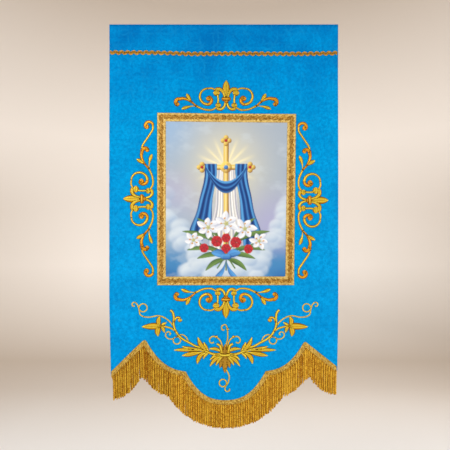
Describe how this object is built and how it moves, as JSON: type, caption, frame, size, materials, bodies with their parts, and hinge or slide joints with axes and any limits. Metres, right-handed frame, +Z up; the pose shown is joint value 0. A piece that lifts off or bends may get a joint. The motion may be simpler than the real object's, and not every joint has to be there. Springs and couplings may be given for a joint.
{
  "type": "church banner",
  "caption": "Hanging church banner: blue cloth with a shaped lower edge, a framed picture panel, raised gold embroidery, braid and a fringe.",
  "frame": {"origin": "middle of the cloth's top edge", "axes": "+Z up along the banner's height, -Y out of its front, +X to the right as seen from the front"},
  "size_m": [0.685, 0.0117, 1.2149],
  "materials": {
    "blue_damask": "satin damask",
    "gold_braid": "woven metallic braid",
    "picture_print": "matte print on cloth",
    "gold_thread": "satin stitch in shiny thread",
    "fringe_gold": "twisted shiny yarn"
  },
  "bodies": {
    "root": {"banner_cloth": "blue_damask", "top_braid": "gold_braid", "picture_panel": "picture_print", "picture_braid": "gold_braid", "scroll_top": "gold_thread", "scroll_bottom": "gold_thread", "scroll_left": "gold_thread", "scroll_right": "gold_thread", "lower_spray": "gold_thread", "fringe": "fringe_gold"}
  },
  "joints": []
}
